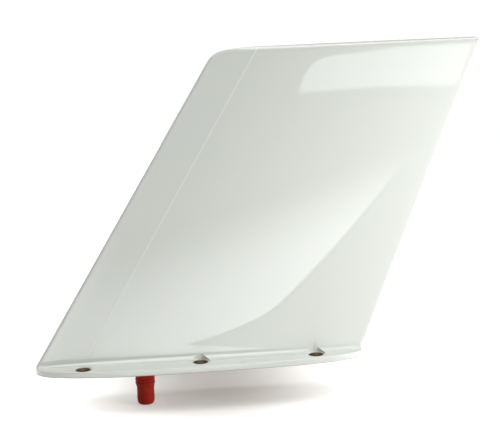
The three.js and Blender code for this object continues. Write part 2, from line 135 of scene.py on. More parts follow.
def turnedPiece(name, profile, steps, centre=(0, 0), closed=True):
    # profile of (radius, height) spun about a vertical axis; an open one starts and ends on it
    piece = loopOf([(radius, 0, height) for radius, height in profile], name)
    if not closed:
        last = len(profile) - 1
        openEdit(piece, "EDGE")
        closeEdit()
        for edge in piece.data.edges:
            edge.select = set(edge.vertices) == {0, last}
        bpy.ops.object.mode_set(mode="EDIT")
        bpy.ops.mesh.delete(type="EDGE")
        closeEdit()
    openEdit(piece, "VERT", "SELECT")
    bpy.ops.mesh.spin(steps=steps, angle=2 * math.pi, center=(0, 0, 0), axis=(0, 0, 1))
    closeEdit()
    cleanMesh(piece)
    piece.location = (centre[0], centre[1], 0)
    setPlaceInMesh(piece)
    return piece


def boxPiece(name, low, high):
    pickNothing()
    centre = (Vector(low) + Vector(high)) / 2
    size = Vector(high) - Vector(low)
    bpy.ops.mesh.primitive_cube_add(size=1, location=centre)
    piece = bpy.context.object
    piece.name = name
    piece.scale = size
    setPlaceInMesh(piece)
    return piece


def arcPoints(centre, radius, fromDegrees, toDegrees, count):
    turn = toDegrees - fromDegrees
    angles = [math.radians(fromDegrees + turn * i / (count - 1)) for i in range(count)]
    return [(centre[0] + radius * math.cos(a), centre[1] + radius * math.sin(a)) for a in angles]


def handOver(piece, body, slot, *nodes):
    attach(piece, body)
    if nodes:
        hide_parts(*nodes)
    return piece


# ---- shader maths: a socket that works like a number

class Wire:
    def __init__(self, socket):
        self.socket = socket
        self.tree = socket.id_data

    def node(self, kind, settings=None, inputs=None, output=0):
        made = self.tree.nodes.new(kind)
        for name, value in (settings or {}).items():
            setattr(made, name, value)
        for name, value in (inputs or {}).items():
            if isinstance(value, Wire):
                self.tree.links.new(value.socket, made.inputs[name])
            else:
                made.inputs[name].default_value = value
        return Wire(made.outputs[output])

    def calc(self, operation, *values, clamp=False):
        settings = {"operation": operation, "use_clamp": clamp}
        return self.node("ShaderNodeMath", settings, dict(enumerate(values)))

    def __add__(self, other):
        return self.calc("ADD", self, other)

    def __sub__(self, other):
        return self.calc("SUBTRACT", self, other)

    def __rsub__(self, other):
        return self.calc("SUBTRACT", other, self)

    def __mul__(self, other):
        return self.calc("MULTIPLY", self, other)

    def __truediv__(self, other):
        return self.calc("DIVIDE", self, other)

    def __pow__(self, other):
        return self.calc("POWER", self, other)

    __radd__ = __add__
    __rmul__ = __mul__

    def sine(self):
        return self.calc("SINE", self)

    def between(self, low, high):
        # 0 at low, 1 at high, smooth and clamped
        ends = {"Value": self, "From Min": low, "From Max": high}
        return self.node("ShaderNodeMapRange", {"interpolation_type": "SMOOTHSTEP"}, ends)

    def mixColour(self, first, second):
        return self.node("ShaderNodeMix", {"data_type": "RGBA"}, {"Factor": self, 6: first, 7: second}, 2)

    def noise(self, scale, detail=2.0, roughness=0.5, stretch=(1, 1, 1)):
        place = self.node("ShaderNodeMapping", {}, {"Vector": self, "Scale": stretch})
        look = {"Vector": place, "Scale": scale, "Detail": detail, "Roughness": roughness}
        return self.node("ShaderNodeTexNoise", {}, look)

    def cells(self, scale):
        return self.node("ShaderNodeTexVoronoi", {}, {"Vector": self, "Scale": scale})

    def vector(self, operation, other=None, output=0):
        values = {0: self} if other is None else {0: self, 1: other}
        return self.node("ShaderNodeVectorMath", {"operation": operation}, values, output)

    def reach(self, centre, stretch=None):
        # distance from a centre, with each axis stretched if asked
        moved = self.vector("SUBTRACT", centre)
        if stretch:
            moved = moved.vector("MULTIPLY", stretch)
        return moved.vector("LENGTH", output=1)

    def axis(self, name):
        return self.node("ShaderNodeSeparateXYZ", {}, {"Vector": self}, "XYZ".index(name))


def rgba(red, green, blue):
    return (red, green, blue, 1.0)


def startMaterial(name, **constants):
    material = bpy.data.materials.new(name)
    material.use_nodes = True
    shader = next(n for n in material.node_tree.nodes if n.type == "BSDF_PRINCIPLED")
    for socket, value in constants.items():
        shader.inputs[socket.replace("_", " ")].default_value = value
    texture = material.node_tree.nodes.new("ShaderNodeTexCoord")
    return material, shader, Wire(texture.outputs["Object"])


def plug(shader, socket, wire):
    shader.id_data.links.new(wire.socket, shader.inputs[socket])


def plugBump(shader, height, strength, distance):
    bump = height.node("ShaderNodeBump", {}, {"Height": height, "Strength": strength, "Distance": distance})
    plug(shader, "Normal", bump)


# ---- finishes

paintLook = {
    "tone": (0.788, 0.83, 0.785), "toneWarm": (0.80, 0.835, 0.775), "wornShade": 0.93,
    "coatRoughness": 0.03, "roughness": 0.34, "cloudScale": 9.0, "speckScale": 2600.0,
    "speckRange": (0.72, 0.82), "finePeel": 420.0, "broadPeel": 95.0, "orangePeel": 0.02,
    "peelHeight": 0.12 * mm,
}


def makeGlossPaint():
    look = paintLook
    material, shader, place = startMaterial("glossPaint", Coat_Roughness=look["coatRoughness"],
                                            Coat_IOR=1.5, Coat_Weight=1.0)
    cloud = place.noise(look["cloudScale"], 3.0)
    speck = place.noise(look["speckScale"], 1.0).between(*look["speckRange"])
    tone = cloud.mixColour(rgba(*look["tone"]), rgba(*look["toneWarm"]))
    worn = rgba(*[look["wornShade"] * c for c in look["tone"]])
    dull = (cloud * 0.35 + speck * 0.6).mixColour(tone, worn)
    plug(shader, "Base Color", (speck * 0.25).mixColour(tone, dull))
    plug(shader, "Roughness", look["roughness"] + cloud * 0.05 + speck * 0.1)
    peel = place.noise(look["finePeel"], 2.0) + place.noise(look["broadPeel"], 1.0) * 0.8
    plugBump(shader, peel, look["orangePeel"], look["peelHeight"])
    return material


metalLook = {
    "nickelPlate": {"tone": (0.62, 0.60, 0.55), "roughness": 0.24, "marks": 0.10, "scale": 900.0},
    "screwSteel": {"tone": (0.58, 0.58, 0.57), "roughness": 0.30, "marks": 0.14, "scale": 1200.0},
    "pinSteel": {"tone": (0.60, 0.60, 0.60), "roughness": 0.34, "marks": 0.12, "scale": 1500.0},
    "copperSheet": {"tone": (0.74, 0.36, 0.20), "roughness": 0.28, "marks": 0.10, "scale": 500.0},
    "contactGold": {"tone": (0.85, 0.60, 0.22), "roughness": 0.22, "marks": 0.08, "scale": 1400.0},
    # bush metal: a brownish conversion coat, its tone darkened further as painted shade for the dark mouths
    # of the holes
    "bushCoatAndShade": {"tone": (0.13, 0.10, 0.065), "roughness": 0.46, "marks": 0.20, "scale": 1100.0,
                 "tarnish": (0.20, 0.12, 0.06)},
}
metalWear = {"tarnish": (0.35, 0.28, 0.2), "groove": (0.75, 0.72, 0.7), "lineStretch": (1, 1, 6),
             "stainScale": 160.0, "stainRange": (0.5, 0.8), "bump": 0.08, "height": 0.04 * mm}


def makeMetal(name):
    look = metalLook[name]
    material, shader, place = startMaterial(name, Metallic=1.0)
    lines = place.noise(look["scale"], 2.0, 0.6, metalWear["lineStretch"])
    stain = place.noise(metalWear["stainScale"], 4.0, 0.6).between(*metalWear["stainRange"])
    dark = rgba(*[c * t for c, t in zip(look["tone"], metalWear["groove"])])
    base = (lines * 0.6).mixColour(rgba(*look["tone"]), dark)
    tarnish = look.get("tarnish", metalWear["tarnish"])
    plug(shader, "Base Color", (stain * 0.25).mixColour(base, rgba(*tarnish)))
    plug(shader, "Roughness", look["roughness"] + lines * look["marks"] + stain * 0.12)
    plugBump(shader, lines, metalWear["bump"], metalWear["height"])
    return material


millLook = {"coat": (0.62, 0.58, 0.44), "coatDeep": (0.52, 0.46, 0.30), "mark": (0.42, 0.38, 0.27),
            "arcCentre": (0.02, -0.19, 0), "arcsPerMetre": 9000.0, "roughness": 0.36}


def makeMillFace():
    # bare machined underside with a pale gold conversion coat and arcs left by the cutter
    look = millLook
    material, shader, place = startMaterial("millFace", Metallic=1.0)
    marks = (place.reach(look["arcCentre"]) * look["arcsPerMetre"]).sine() * 0.5 + 0.5
    cloud = place.noise(30.0, 4.0, 0.6)
    coat = cloud.between(0.35, 0.7).mixColour(rgba(*look["coat"]), rgba(*look["coatDeep"]))
    plug(shader, "Base Color", (marks * 0.25).mixColour(coat, rgba(*look["mark"])))
    plug(shader, "Roughness", look["roughness"] + marks * 0.12 + cloud * 0.1)
    plugBump(shader, marks + place.noise(900.0, 2.0) * 0.6, 0.15, 0.05 * mm)
    return material


capLook = {"tone": (0.37, 0.009, 0.003), "deep": (0.15, 0.003, 0.001), "bright": (0.45, 0.016, 0.004),
           "roughness": 0.4, "cloudScale": 240.0, "grainScale": 2600.0, "hollowScale": 700.0}


def makeCapVinyl():
    look = capLook
    material, shader, place = startMaterial("capVinyl", IOR=1.3)
    cloud = place.noise(look["cloudScale"], 3.0)
    grain = place.noise(look["grainScale"], 2.0, 0.6, (1, 1, 0.35))
    hollow = place.noise(look["hollowScale"], 2.0, 0.5, (1, 1, 0.2)).between(0.5, 0.75)
    tone = cloud.mixColour(rgba(*look["tone"]), rgba(*look["bright"]))
    plug(shader, "Base Color", (hollow * 0.5).mixColour(tone, rgba(*look["deep"])))
    plug(shader, "Roughness", look["roughness"] + grain * 0.18)
    plugBump(shader, grain + hollow * 1.5, 0.35, 0.15 * mm)
    return material


rubberLook = {"tone": (0.018, 0.018, 0.018), "dust": (0.12, 0.115, 0.11), "roughness": 0.55}


def makeRubber():
    material, shader, place = startMaterial("sealRubber")
    grain = place.noise(1800.0, 3.0)
    dust = place.noise(220.0, 4.0).between(0.55, 0.85)
    plug(shader, "Base Color", (dust * 0.35).mixColour(rgba(*rubberLook["tone"]), rgba(*rubberLook["dust"])))
    plug(shader, "Roughness", rubberLook["roughness"] + dust * 0.25)
    plugBump(shader, grain, 0.3, 0.1 * mm)
    return material


# white sealant bead, with its tone set lighter than the paint round it as a painted highlight along the seam
sealantAndHighlightLook = {"tone": (0.93, 0.94, 0.91), "shade": (0.88, 0.90, 0.86), "roughness": 0.35, "waveScale": 300.0}


def makeSealant():
    look = sealantAndHighlightLook
    material, shader, place = startMaterial("guardSealant", Coat_Weight=0.6, Coat_Roughness=0.1)
    wave = place.noise(look["waveScale"], 2.0)
    # painted highlight: the bead colour is kept lighter than the paint beside it
    plug(shader, "Base Color", wave.mixColour(rgba(*look["tone"]), rgba(*look["shade"])))
    plug(shader, "Roughness", look["roughness"] + wave * 0.1)
    plugBump(shader, wave, 0.2, 0.1 * mm)
    return material


foamLook = {"wall": (0.62, 0.52, 0.30), "cell": (0.82, 0.74, 0.52), "cellScale": 1500.0}


def makeFoam():
    material, shader, place = startMaterial("coreFoam", Roughness=0.92)
    cell = place.cells(foamLook["cellScale"])
    tone = cell.between(0.1, 0.7).mixColour(rgba(*foamLook["wall"]), rgba(*foamLook["cell"]))
    plug(shader, "Base Color", tone)
    plugBump(shader, 1 - cell, 0.5, 0.2 * mm)
    return material


laminateLook = {"resin": (0.16, 0.17, 0.06), "fibre": (0.26, 0.27, 0.11), "weave": 5200.0, "roughness": 0.42}


def makeLaminate():
    # woven glass under clear resin
    look = laminateLook
    material, shader, place = startMaterial("glassLaminate", Coat_Weight=0.4, Coat_Roughness=0.12)
    across = (place.axis("X") * look["weave"]).sine()
    along = (place.axis("Z") * look["weave"]).sine()
    weave = (across * along) * 0.5 + 0.5
    plug(shader, "Base Color", weave.mixColour(rgba(*look["resin"]), rgba(*look["fibre"])))
    plug(shader, "Roughness", look["roughness"] + weave * 0.12)
    plugBump(shader, weave, 0.2, 0.1 * mm)
    return material


grainyLook = {
    "ferriteGrey": {"dark": (0.02, 0.02, 0.022), "light": (0.06, 0.06, 0.062), "rough": 0.6, "scale": 900.0},
    "chipCeramic": {"dark": (0.30, 0.20, 0.11), "light": (0.42, 0.30, 0.18), "rough": 0.45, "scale": 1400.0},
    "fluoroWhite": {"dark": (0.78, 0.77, 0.72), "light": (0.86, 0.85, 0.81), "rough": 0.4, "scale": 1200.0},
}


def makeGrainy(name):
    # sintered or moulded solids: ferrite, ceramic, fluoroplastic
    look = grainyLook[name]
    material, shader, place = startMaterial(name)
    grain = place.noise(look["scale"], 4.0, 0.65)
    tone = grain.between(0.35, 0.7).mixColour(rgba(*look["dark"]), rgba(*look["light"]))
    plug(shader, "Base Color", tone)
    plug(shader, "Roughness", look["rough"] + grain * 0.15)
    plugBump(shader, grain, 0.25, 0.1 * mm)
    return material


glossPaint = makeGlossPaint()
millFace = makeMillFace()
metals = {name: makeMetal(name) for name in metalLook}
capVinyl = makeCapVinyl()
sealRubber = makeRubber()
guardSealant = makeSealant()
coreFoam = makeFoam()
glassLaminate = makeLaminate()
grainy = {name: makeGrainy(name) for name in grainyLook}
print("finishes made:", len(bpy.data.materials))


def dress(piece, *materials):
    piece.data.materials.clear()
    for material in materials:
        piece.data.materials.append(material)


# ---- blade form, shared by shell, guard and sealant

blade = {
    "footLeadX": -106.9 * mm, "footTailX": 108.15 * mm, "footZ": 4 * mm, "tipZ": 206 * mm,
    "leadSlope": math.tan(math.radians(31.85)), "tailSlope": math.tan(math.radians(22.75)),
    "thickest": 7.8 * mm, "thickestAt": 0.68, "tailHalf": 6.6 * mm, "nose": 2 * mm, "tailCorner": 2.6 * mm,
    "tipTaper": 0.28, "filletHeight": 4.4 * mm, "filletFlare": 0.9, "tipEdge": 3 * mm, "tipCrown": 0.53,
    "droopLength": 22 * mm, "droopDepth": 1.6 * mm, "droopEndX": 46 * mm, "rearCorner": 2.5 * mm,
    "wall": 2.8 * mm, "cavityFront": 0.15, "cavityTail": 3.2 * mm, "cavityTop": 200 * mm,
}
footChord = blade["footTailX"] - blade["footLeadX"]


def leadLine(z):
    return blade["footLeadX"] + (z - blade["footZ"]) * blade["leadSlope"]


def tailLine(z):
    return blade["footTailX"] + (z - blade["footZ"]) * blade["tailSlope"]


droopTilt = math.atan(2 * blade["droopDepth"] / blade["droopLength"])
leadTilt = math.atan(1 / blade["leadSlope"])
tailTilt = math.atan(blade["tailSlope"])
cornerX = blade["droopEndX"] - blade["droopLength"]
cornerZ = blade["tipZ"] - blade["droopDepth"]
cornerSpread = blade["leadSlope"] * (math.cos(droopTilt) - math.cos(leadTilt))
cornerRadius = (cornerX - leadLine(cornerZ)) / (math.sin(leadTilt) - math.sin(droopTilt) - cornerSpread)
cornerCentre = (cornerX + cornerRadius * math.sin(droopTilt), cornerZ - cornerRadius * math.cos(droopTilt))
cornerFoot = cornerCentre[1] + cornerRadius * math.cos(leadTilt)
rearCentreZ = blade["tipZ"] - blade["rearCorner"]
rearCentreX = tailLine(rearCentreZ) - blade["rearCorner"] / math.cos(tailTilt)
rearFoot = rearCentreZ - blade["rearCorner"] * math.sin(tailTilt)


def leadX(z):
    if z > cornerZ:
        share = max(blade["tipZ"] - z, 0) / blade["droopDepth"]
        return blade["droopEndX"] - blade["droopLength"] * math.sqrt(share)
    if z > cornerFoot:
        return cornerCentre[0] - math.sqrt(cornerRadius ** 2 - (z - cornerCentre[1]) ** 2)
    return leadLine(z)


def tailX(z):
    if z > rearFoot:
        return rearCentreX + math.sqrt(max(blade["rearCorner"] ** 2 - (z - rearCentreZ) ** 2, 0))
    return tailLine(z)


def halfThickness(distance):
    at = distance / footChord
    rise = blade["thickest"] * math.sin(math.pi / 2 * min(at / blade["thickestAt"], 1) ** 0.8)
    aft = max(at - blade["thickestAt"], 0) / (1 - blade["thickestAt"])
    fall = (blade["thickest"] - blade["tailHalf"]) * aft ** 2
    nose = blade["nose"] * math.sqrt(1 - (1 - min(distance / blade["nose"], 1)) ** 2)
    toTail = max(blade["tailCorner"] - (footChord - distance), 0)
    corner = blade["tailCorner"] - math.sqrt(max(blade["tailCorner"] ** 2 - toTail ** 2, 0))
    return math.hypot(rise - fall, nose) - corner


def plainTaper(z):
    return 1 - blade["tipTaper"] * (z - blade["footZ"]) / (blade["tipZ"] - blade["footZ"])


def widthScale(z):
    # taper, root fillet and tip crown together
    left = min(max(1 - (z - blade["footZ"]) / blade["filletHeight"], 0), 1)
    fillet = 1 + blade["filletFlare"] * (1 - math.sqrt(1 - left ** 2))
    into = min(max((z - blade["tipZ"]) / blade["tipEdge"] + 1, 0), 1)
    return plainTaper(z) * fillet * (1 - blade["tipCrown"] * (1 - math.sqrt(1 - into ** 2)))


def sectionLoop(inset, front, rear, midCount):
    # foot section as one closed ring, near side first
    distances = [blade["nose"] * (1 - math.cos(math.radians(a))) for a in range(0, 90, 12)]
    distances += [footChord * (0.012 + 0.97 * (i / midCount) ** 1.15) for i in range(midCount)]
    distances += [footChord - blade["tailCorner"] * (1 - math.sin(math.radians(a))) for a in range(0, 91, 10)]
    inside = sorted(d for d in distances if front + 0.2 * mm < d < footChord - rear - 0.05 * mm)
    distances = [front, *inside, footChord - rear]
    sides = [(blade["footLeadX"] + d, max(halfThickness(d) - inset, 0)) for d in distances]
    near = [(x, -y) for x, y in sides]
    far = [(x, y) for x, y in reversed(sides) if y > 0]
    return near + far


def loftPiece(name, ring, heights, widthAt):
    # the foot ring is extruded up the blade, and each new ring is scaled about the leading edge
    piece = loopOf([(x, y * widthAt(heights[0]), heights[0]) for x, y in ring], name, filled=True)
    ratio = (tailX(heights[0]) - leadX(heights[0])) / footChord
    for vert in piece.data.vertices:
        vert.co.x = leadX(heights[0]) + (vert.co.x - blade["footLeadX"]) * ratio
    openEdit(piece, "FACE", "SELECT")
    for low, high in zip(heights, heights[1:]):
        step = (leadX(high) - leadX(low), 0, high - low)
        grow = (tailX(high) - leadX(high)) / (tailX(low) - leadX(low))
        bpy.ops.mesh.extrude_region_move(TRANSFORM_OT_translate={"value": step})
        bpy.ops.transform.resize(value=(grow, widthAt(high) / widthAt(low), 1),
                                 center_override=(leadX(high), 0, high))
    closeEdit()
    cleanMesh(piece, 1e-7)
    return piece


def spread(low, high, count, power=1.0):
    return [low + (high - low) * (i / count) ** power for i in range(1, count + 1)]


filletTop = blade["footZ"] + blade["filletHeight"]
guardFoot = blade["footZ"] + 7.5 * mm
skinHeights = [blade["footZ"]] + spread(blade["footZ"], filletTop, 12, 1.8)
skinHeights += spread(filletTop, cornerFoot, 34)
skinHeights += spread(cornerFoot, cornerZ, 12)
quarter = [math.sin(math.pi / 2 * i / 10) for i in range(1, 11)]
skinHeights += [cornerZ + (blade["tipZ"] - cornerZ) * share for share in quarter]
skin = loftPiece("bladeSkin", sectionLoop(0, 0, 0, 46), skinHeights, widthScale)
print("blade skin:", len(skin.data.polygons), "faces")

guard = {"width": 30 * mm, "seamSlope": math.tan(math.radians(31.27)), "thickness": 0.6 * mm,
         "noseDrop": 4.3 * mm, "gap": 0.3 * mm, "bond": 0.25 * mm, "beadWidth": 0.8 * mm,
         "beadDepth": 0.5 * mm, "beadTipGap": 0.15 * mm}
seamFoot = Vector((leadLine(guardFoot) + guard["width"], 0, guardFoot))
seamNormal = Vector((1, 0, -guard["seamSlope"])).normalized()
hemSlope = guard["noseDrop"] / (seamFoot.x - blade["footLeadX"])
hemNormal = Vector((hemSlope, 0, -1)).normalized()


def slicePiece(piece, point, normal, clearAbove=False, clearBelow=False, fill=False):
    openEdit(piece, "VERT", "SELECT")
    bpy.ops.mesh.bisect(plane_co=point, plane_no=normal, use_fill=fill,
                        clear_outer=clearAbove, clear_inner=clearBelow)
    closeEdit()


def aheadOfSeam(point, by=0.0):
    return (point - seamFoot).dot(seamNormal) < by


def aboveHem(point, by=0.0):
    return (point - seamFoot).dot(hemNormal) < by


def makeGuard():
    piece = copyOf(skin, "edgeGuard")
    slicePiece(piece, seamFoot, seamNormal, clearAbove=True)
    slicePiece(piece, seamFoot, hemNormal, clearAbove=True)
    useModifier(piece, "SOLIDIFY", thickness=guard["thickness"], offset=-1, use_even_offset=True)
    cleanMesh(piece)
    smoothShade(piece)
    dress(piece, glossPaint)
    return handOver(piece, "antenna", "guard_paint", "leading_edge_guard")


def beadAlong(name, normal, keepTest):
    # a narrow band of the skin on the joint, thickened a little past the paint
    piece = copyOf(skin, name)
    half = guard["beadWidth"] / 2
    middle = seamFoot + normal * guard["gap"] / 2
    slicePiece(piece, middle + normal * half, normal, clearAbove=True)
    slicePiece(piece, middle - normal * half, normal, clearBelow=True)
    for crossNormal, by in keepTest:
        slicePiece(piece, seamFoot + crossNormal * by, crossNormal, clearAbove=True)
    slicePiece(piece, (0, 0, blade["tipZ"] - guard["beadTipGap"]), (0, 0, 1), clearAbove=True)
    useModifier(piece, "SOLIDIFY", thickness=guard["beadDepth"], offset=-0.7, use_even_offset=True)
    return piece


def makeSealantBead():
    seam = beadAlong("guardSealant", seamNormal, [(hemNormal, guard["beadWidth"])])
    hem = beadAlong("hemSealant", hemNormal, [(seamNormal, 0.0)])
    pickOnly(seam)
    hem.select_set(True)
    bpy.ops.object.join()
    cleanMesh(seam)
    smoothShade(seam, 50)
    dress(seam, guardSealant)
    return handOver(seam, "antenna", "guard_paint")


makeGuard()
makeSealantBead()
print("guard and sealant made")

# ---- screw seats

seat = {"pitch": 76.2 * mm, "gauge": 14 * mm, "spotRadius": 6.4 * mm, "spotDepth": 0.3 * mm,
        "bushRadius": 5.55 * mm, "bushFoot": 0.2 * mm, "bushEdge": 0.12 * mm, "mouthRadius": 4.9 * mm,
        "holeRadius": 2.6 * mm, "coneHalfAngle": 50}
seatPlaces = [(row * seat["pitch"], side * seat["gauge"]) for row in (-1, 0, 1) for side in (-1, 1)]


def spotCutter(x, y):
    low = blade["footZ"] - seat["spotDepth"]
    shoulder = blade["footZ"] + blade["filletHeight"]
    dome = arcPoints((0, shoulder), seat["spotRadius"], 0, 75, 9)
    profile = [(0, low), (seat["spotRadius"], low), *dome, (0, shoulder + seat["spotRadius"])]
    return turnedPiece("spotCutter", profile, 72, (x, y), closed=False)


def makeShellHalves():
    body = copyOf(skin, "shellBody")
    # the recess that the guard sits in: a step of the guard's thickness and a bond line
    step = guard["thickness"] + guard["bond"]
    slicePiece(body, seamFoot + seamNormal * guard["gap"], seamNormal)
    slicePiece(body, seamFoot + seamNormal * 0.05 * mm, seamNormal)
    slicePiece(body, seamFoot + hemNormal * guard["gap"], hemNormal)
    slicePiece(body, seamFoot + hemNormal * 0.05 * mm, hemNormal)
    pickVerts(body, lambda co: aheadOfSeam(co, 0.1 * mm) and aboveHem(co, 0.1 * mm))
    bpy.ops.transform.shrink_fatten(value=-step)
    closeEdit()
    ring = sectionLoop(blade["wall"], blade["cavityFront"] * footChord, blade["cavityTail"], 18)
    low = blade["footZ"] - 2 * mm
    cutWith(body, loftPiece("cavity", ring, [low, blade["footZ"], blade["cavityTop"]], plainTaper))
    for x, y in seatPlaces:
        cutWith(body, spotCutter(x, y))
    right = copyOf(body, "shellRight")
    body.name = "shellLeft"
    slicePiece(body, (0, 0, 0), (0, 1, 0), clearAbove=True, fill=True)
    slicePiece(right, (0, 0, 0), (0, 1, 0), clearBelow=True, fill=True)
    for half, node in ((body, "radome_left"), (right, "radome_right")):
        cleanMesh(half)
        smoothShade(half, 30)
        dress(half, glossPaint)
        handOver(half, "antenna", "shell_paint", node)
    return body, right


shellLeft, shellRight = makeShellHalves()
bpy.data.objects.remove(skin)
print("shell halves made:", len(shellLeft.data.polygons), len(shellRight.data.polygons))

# ---- flange

flange = {"front": (107 * mm, 2.7), "rear": (108.5 * mm, 3.5), "halfWidth": 26 * mm, "top": 4 * mm,
          "topRound": 0.8 * mm, "lowChamfer": 0.3 * mm, "points": 180}
tenon = {"top": 14 * mm, "lowX": -62 * mm, "highX": 86 * mm, "gap": 0.3 * mm, "slotHalf": 1 * mm,
         "slotFloor": 5.5 * mm, "pinHeight": 9.5 * mm, "pinRadius": 1.1 * mm,
         "pins": (-53 * mm, 18 * mm, 70 * mm)}
jack = {"x": -36 * mm, "pocketHalf": 9.3 * mm, "pocketTop": 2.2 * mm, "centreHole": 3.4 * mm,
        "plateHalf": 8.9 * mm, "plateLow": 0.4 * mm, "plateHigh": 2 * mm, "plateCorner": 1.6 * mm,
        "screwHalfPitch": 6.35 * mm, "barrel": 5.55 * mm, "end": -14 * mm, "bore": 4.1 * mm,
        "throat": 2.2 * mm, "boreTop": -1.5 * mm, "collarTop": 1.2 * mm, "boss": 3.1 * mm, "bossTop": 5 * mm,
        "threadPitch": 0.907 * mm, "threadDepth": 0.42 * mm, "threadTop": -1.6 * mm, "threadRows": 70}
gasket = {"inner": 15.4 * mm, "outer": 18 * mm, "depth": 1.8 * mm}


def flangeRing():
    points = []
    for i in range(flange["points"]):
        angle = 2 * math.pi * i / flange["points"]
        length, roundness = flange["front"] if math.cos(angle) < 0 else flange["rear"]
        x = math.copysign(length * abs(math.cos(angle)) ** (2 / roundness), math.cos(angle))
        y = math.copysign(flange["halfWidth"] * abs(math.sin(angle)) ** (2 / roundness), math.sin(angle))
        points.append((x, y, 0))
    return points


def outlineShare(co):
    # 1 on the outline, less inside it
    length, roundness = flange["front"] if co.x < 0 else flange["rear"]
    return abs(co.x / length) ** roundness + abs(co.y / flange["halfWidth"]) ** roundness


def postCutter(radius, low, high, x, y, steps=48):
    profile = [(0, low), (radius, low), (radius, high), (0, high)]
    return turnedPiece("postCutter", profile, steps, (x, y), closed=False)


def makeTenon():
    inset = blade["wall"] + tenon["gap"]
    ring = sectionLoop(inset, blade["cavityFront"] * footChord, blade["cavityTail"] + tenon["gap"], 18)
    block = loftPiece("tenon", ring, [blade["footZ"] - 1 * mm, tenon["top"]], plainTaper)
    slicePiece(block, (tenon["lowX"], 0, 0), (1, 0, 0), clearBelow=True, fill=True)
    slicePiece(block, (tenon["highX"], 0, 0), (1, 0, 0), clearAbove=True, fill=True)
    cleanMesh(block)
    # left open over the jack
    openHalf = 8 * mm
    cutWith(block, boxPiece("tenonGap", (jack["x"] - openHalf, -0.02, 0), (jack["x"] + openHalf, 0.02, 0.03)))
    return block


def cutTenon(piece):
    # the slot that the board stands in, and the cross holes for its pins
    endWall = 2 * mm
    slotLow = (tenon["lowX"] + endWall, -tenon["slotHalf"], tenon["slotFloor"])
    cutWith(piece, boxPiece("slot", slotLow, (tenon["highX"] - endWall, tenon["slotHalf"], 0.02)))
    for x in tenon["pins"]:
        cutter = postCutter(tenon["pinRadius"], -0.02, 0.02, 0, 0, 24)
        cutter.rotation_euler = (math.pi / 2, 0, 0)
        cutter.location = (x, 0, tenon["pinHeight"])
        setPlaceInMesh(cutter)
        cutWith(piece, cutter)


def cutUnderside(piece):
    half = jack["pocketHalf"]
    pocketHigh = (jack["x"] + half, half, jack["pocketTop"])
    cutWith(piece, boxPiece("pocket", (jack["x"] - half, -half, -0.01), pocketHigh))
    cutWith(piece, postCutter(jack["centreHole"], -0.01, 0.02, jack["x"], 0))
    groove = [(gasket["inner"], -0.005), (gasket["outer"], -0.005),
              (gasket["outer"], gasket["depth"]), (gasket["inner"], gasket["depth"])]
    cutWith(piece, turnedPiece("groove", groove, 96, (jack["x"], 0)))


def isBare(face):
    # unpainted: the underside, the walls of everything cut into the flange, and the tenon
    underside = face.center.z < 0.35 * mm and face.normal.z < -0.5
    inside = outlineShare(face.center) < 0.9
    cutWall = inside and face.center.z < flange["top"] - 0.4 * mm and face.normal.z < 0.9
    return underside or cutWall or face.center.z > flange["top"] + 0.1 * mm


def makeFlange():
    piece = loopOf(flangeRing(), "flange", filled=True)
    openEdit(piece, "FACE", "SELECT")
    bpy.ops.mesh.extrude_region_move(TRANSFORM_OT_translate={"value": (0, 0, flange["top"])})
    closeEdit()
    cleanMesh(piece, 1e-7)
    pickEdges(piece, lambda co: co.z > flange["top"] - 1e-5)
    bpy.ops.mesh.bevel(offset=flange["topRound"], segments=4, profile=0.5, affect="EDGES")
    pickEdges(piece, lambda co: co.z < 1e-5)
    bpy.ops.mesh.bevel(offset=flange["lowChamfer"], segments=1, affect="EDGES")
    closeEdit()
    cutWith(piece, makeTenon(), "UNION")
    cutTenon(piece)
    cutUnderside(piece)
    for x, y in seatPlaces:
        cutWith(piece, spotCutter(x, y))
        cutWith(piece, postCutter(seat["bushRadius"] + 0.05 * mm, -0.01, 0.02, x, y))
    cleanMesh(piece)
    dress(piece, glossPaint, millFace)
    for face in piece.data.polygons:
        if isBare(face):
            face.material_index = 1
    smoothShade(piece, 30)
    return handOver(piece, "antenna", "flange_paint", "base_plate")


flangePiece = makeFlange()
print("flange made:", len(flangePiece.data.polygons))


def makeBushes():
    low, edge = seat["bushFoot"], seat["bushEdge"]
    high = blade["footZ"] - seat["spotDepth"] - 0.02 * mm
    coneDrop = (seat["mouthRadius"] - seat["holeRadius"]) / math.tan(math.radians(seat["coneHalfAngle"]))
    profile = [
        (seat["holeRadius"], low + edge), (seat["holeRadius"] + edge, low),
        (seat["bushRadius"] - edge, low), (seat["bushRadius"], low + edge),
        (seat["bushRadius"], high - edge), (seat["bushRadius"] - edge, high),
        (seat["mouthRadius"] + edge * 0.4, high), (seat["mouthRadius"] - edge * 0.4, high - edge * 0.5),
        (seat["holeRadius"] + edge, high - coneDrop + edge), (seat["holeRadius"], high - coneDrop - edge),
    ]
    first = turnedPiece("mountBush_1", profile, 72)
    smoothShade(first, 25)
    # the bush metal carries painted shade for the hole mouths
    dress(first, metals["bushCoatAndShade"], glossPaint)
    # paint runs over the flat rim
    for face in first.data.polygons:
        if face.normal.z > 0.9:
            face.material_index = 1
    for number, (x, y) in enumerate(seatPlaces, 1):
        piece = copyOf(first, f"mountBush{number}")
        piece.location = (x, y, 0)
        setPlaceInMesh(piece)
        handOver(piece, "antenna", "bush_metal", f"mount_bush_{number}")
    bpy.data.objects.remove(first)


makeBushes()

# ---- jack and its screws

def jackProfile():
    bore, barrel, end = jack["bore"], jack["barrel"], jack["end"]
    threadFoot = end + 0.5 * mm
    rows = jack["threadRows"]
    outer = [(barrel, threadFoot + (jack["threadTop"] - threadFoot) * i / rows) for i in range(rows + 1)]
    return [
        (jack["throat"], jack["bossTop"]), (jack["throat"], jack["boreTop"]),
        (bore - 0.4 * mm, jack["boreTop"]), (bore, jack["boreTop"] - 0.4 * mm),
        (bore, end + 0.3 * mm), (bore + 0.25 * mm, end), (barrel - 0.45 * mm, end), *outer,
        (barrel, jack["collarTop"]), (jack["boss"], jack["collarTop"]), (jack["boss"], jack["bossTop"]),
    ]


